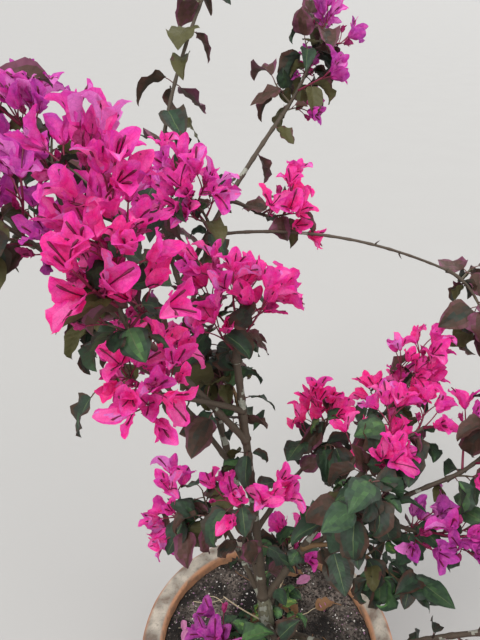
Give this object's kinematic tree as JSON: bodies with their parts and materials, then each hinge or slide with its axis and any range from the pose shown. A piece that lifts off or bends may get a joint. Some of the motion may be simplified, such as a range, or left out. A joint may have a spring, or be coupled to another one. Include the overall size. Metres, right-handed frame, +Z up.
{
  "type": "potted bougainvillea bush",
  "caption": "Young bougainvillea in a thick-rimmed round clay pot: thin arching boughs that end in loose bunches of papery magenta bracts and bronze-green leaves.",
  "frame": {"origin": "middle of the pot's flat underside, on the surface that the pot stands on", "axes": "+Z up along the pot's axis; +X to the right and +Y away from the viewer as the picture looks at the bush"},
  "size_m": [0.8487, 0.9695, 1.2487],
  "materials": {
    "clay": "matte",
    "soil": "matte",
    "bark": "matte",
    "leaves": "satin",
    "bracts": "matte"
  },
  "bodies": {
    "root": {"pot": "clay", "soil": "soil", "trunk": "bark", "bough_leader": "bark", "bough_left_arm": "bark", "bough_front_left_high": "bark", "bough_left_top": "bark", "bough_left_mid": "bark", "bough_centre_leafy": "bark", "bough_left_back": "bark", "bough_back_left": "bark", "bough_back_left_side": "bark", "bough_back_high": "bark", "bough_back_high_side": "bark", "bough_arching_cane": "bark", "bough_low_left": "bark", "bough_low_centre": "bark", "bough_low_front": "bark", "bough_low_back": "bark", "bough_centre_back": "bark", "bough_right": "bark", "bough_right_back": "bark", "bough_right_low": "bark", "bough_right_tail": "bark", "bough_right_leafy": "bark", "bough_right_far": "bark", "bough_front_left": "bark", "bough_front": "bark", "bough_front_right": "bark", "bough_right_front": "bark", "bough_left_far": "bark", "bloom_mass_leader": "bracts", "bloom_mass_left_arm": "bracts", "bloom_mass_front_left_high": "bracts", "bloom_mass_left_top": "bracts", "bloom_mass_left_mid": "bracts", "leaf_mass_centre_leafy": "leaves", "bloom_mass_left_back": "bracts", "leaf_mass_back_left": "leaves", "bloom_mass_back_left_side": "bracts", "bloom_mass_back_high": "bracts", "bloom_mass_back_high_side": "bracts", "leaf_mass_arching_cane": "leaves", "bloom_mass_low_left": "bracts", "bloom_mass_low_centre": "bracts", "bloom_mass_low_front": "bracts", "bloom_mass_low_back": "bracts", "bloom_mass_centre_back": "bracts", "bloom_mass_right": "bracts", "bloom_mass_right_back": "bracts", "bloom_mass_right_low": "bracts", "leaf_mass_right_tail": "leaves", "leaf_mass_right_leafy": "leaves", "bloom_mass_right_far": "bracts", "bloom_mass_front_left": "bracts", "bloom_mass_front": "bracts", "bloom_mass_front_right": "bracts", "bloom_mass_right_front": "bracts", "bloom_mass_left_far": "bracts"}
  },
  "joints": []
}
